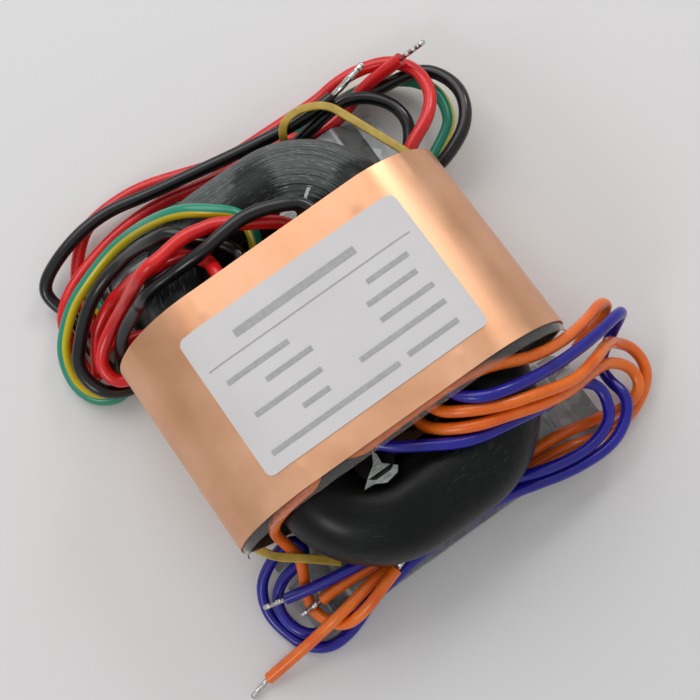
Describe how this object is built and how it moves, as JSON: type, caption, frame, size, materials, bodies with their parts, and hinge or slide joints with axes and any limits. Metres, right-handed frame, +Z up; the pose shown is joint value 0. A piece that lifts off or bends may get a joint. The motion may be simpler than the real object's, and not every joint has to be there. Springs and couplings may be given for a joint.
{
  "type": "r-core transformer",
  "caption": "Round-section wound core transformer on two steel brackets, with a copper flux band, a label and folded primary and secondary leads.",
  "frame": {"origin": "on the table, under the centre of the core, at the underside of the feet", "axes": "+X across the two legs towards the right coil, +Y along the legs towards the primary leads, +Z up"},
  "size_m": [0.0963, 0.0946, 0.0359],
  "materials": {
    "black_sleeve": "satin",
    "blue_sleeve": "satin",
    "bobbin_plastic": "satin",
    "clear_film": "gloss",
    "copper_foil": "satin",
    "fibre_board": "matte",
    "galvanised_steel": "satin",
    "green_yellow_sleeve": "satin",
    "label_paper": "matte",
    "latex": "satin",
    "magnet_wire": "satin",
    "orange_sleeve": "satin",
    "red_sleeve": "satin",
    "tinned_wire": "satin",
    "varnished_core": "gloss",
    "yellow_tape": "satin"
  },
  "bodies": {
    "root": {"bobbin_left_lower": "bobbin_plastic", "bobbin_left_upper": "bobbin_plastic", "bobbin_right_lower": "bobbin_plastic", "bobbin_right_upper": "bobbin_plastic", "bracket_back": "galvanised_steel", "bracket_front": "galvanised_steel", "flux_band": "copper_foil", "inner_tape_left": "yellow_tape", "inner_tape_right": "yellow_tape", "insulating_film": "clear_film", "label": "label_paper", "lead_black_1": "black_sleeve", "lead_black_2": "black_sleeve", "lead_blue_1": "blue_sleeve", "lead_blue_2": "blue_sleeve", "lead_green_yellow": "green_yellow_sleeve", "lead_orange_1": "orange_sleeve", "lead_orange_2": "orange_sleeve", "lead_orange_3": "orange_sleeve", "lead_orange_4": "orange_sleeve", "lead_red_1": "red_sleeve", "lead_red_2": "red_sleeve", "outer_tape_left": "yellow_tape", "outer_tape_right": "yellow_tape", "primary_left": "magnet_wire", "primary_right": "magnet_wire", "r_core": "varnished_core", "rubber_band_back": "latex", "rubber_band_front": "latex", "secondary_left": "magnet_wire", "secondary_right": "magnet_wire", "tip_black_1": "tinned_wire", "tip_black_2": "tinned_wire", "tip_blue_1": "tinned_wire", "tip_blue_2": "tinned_wire", "tip_green_yellow": "tinned_wire", "tip_orange_1": "tinned_wire", "tip_orange_2": "tinned_wire", "tip_orange_3": "tinned_wire", "tip_orange_4": "tinned_wire", "tip_red_1": "tinned_wire", "tip_red_2": "tinned_wire", "yoke_pad_back": "fibre_board", "yoke_pad_front": "fibre_board"}
  },
  "joints": []
}
